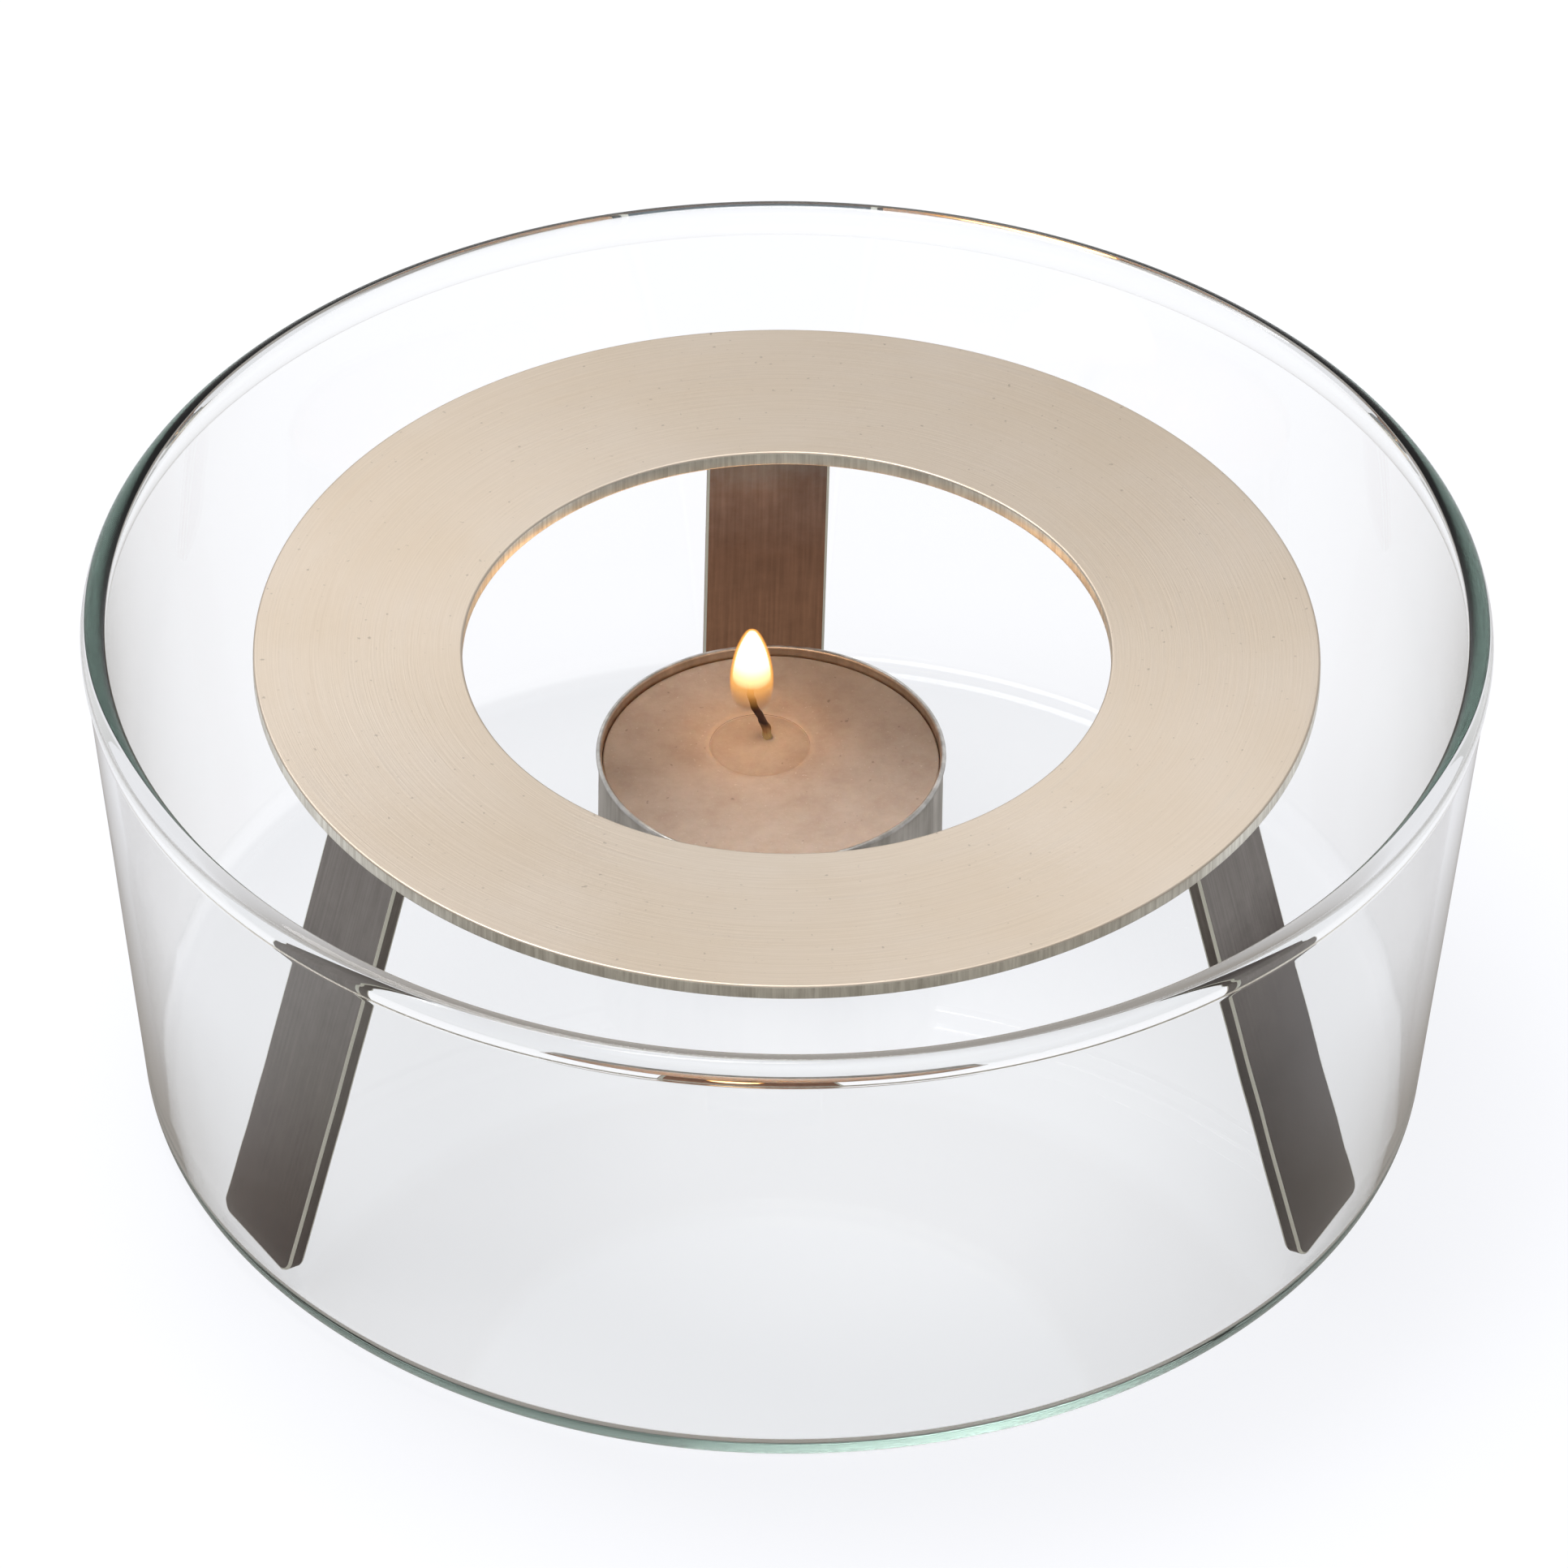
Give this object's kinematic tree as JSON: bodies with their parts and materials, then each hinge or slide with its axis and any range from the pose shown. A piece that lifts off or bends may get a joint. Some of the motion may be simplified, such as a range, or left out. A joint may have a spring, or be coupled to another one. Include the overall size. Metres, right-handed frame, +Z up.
{
  "type": "tealight holder",
  "caption": "Clear glass bowl with a brushed steel ring stand on splayed strip legs inside it, and a lit-style tealight on the bowl's floor, to warm a pot placed on the ring.",
  "frame": {"origin": "centre of the underside of the glass bowl, on the surface it stands on", "axes": "+Z is up along the bowl's own axis; +Y points from the middle to the back leg of the stand, in front of which the tealight stands; the other two legs are 120 degrees away to each side"},
  "size_m": [0.15, 0.15, 0.06],
  "materials": {
    "clear_glass": "clear, polished",
    "brushed_steel": "fine circular brushing",
    "leg_steel": "brushed along the strip",
    "cup_aluminium": "thin pressed sheet, satin",
    "wax": "translucent candle wax, satin",
    "wick_cotton": "charred braided cotton",
    "sustainer_steel": "plain tinned sheet"
  },
  "bodies": {
    "bowl": {"glass_bowl": "clear_glass"},
    "stand": {"pot_ring": "brushed_steel", "leg_back": "leg_steel", "leg_left": "leg_steel", "leg_right": "leg_steel", "weld_beads": "leg_steel"},
    "tealight": {"tealight_cup": "cup_aluminium"},
    "candle": {"candle_wax": "wax", "wick": "wick_cotton", "wick_sustainer": "sustainer_steel"}
  },
  "joints": [
    {"name": "stand_lift", "type": "slide", "parent": "bowl", "child": "stand", "axis": [0, 0, 1], "range_m": [0, 0.08]},
    {"name": "tealight_lift", "type": "slide", "parent": "bowl", "child": "tealight", "axis": [0, -0.5843, 0.8115], "range_m": [0, 0.073]},
    {"name": "candle_lift", "type": "slide", "parent": "tealight", "child": "candle", "axis": [0, 0, 1], "range_m": [0, 0.016]}
  ]
}
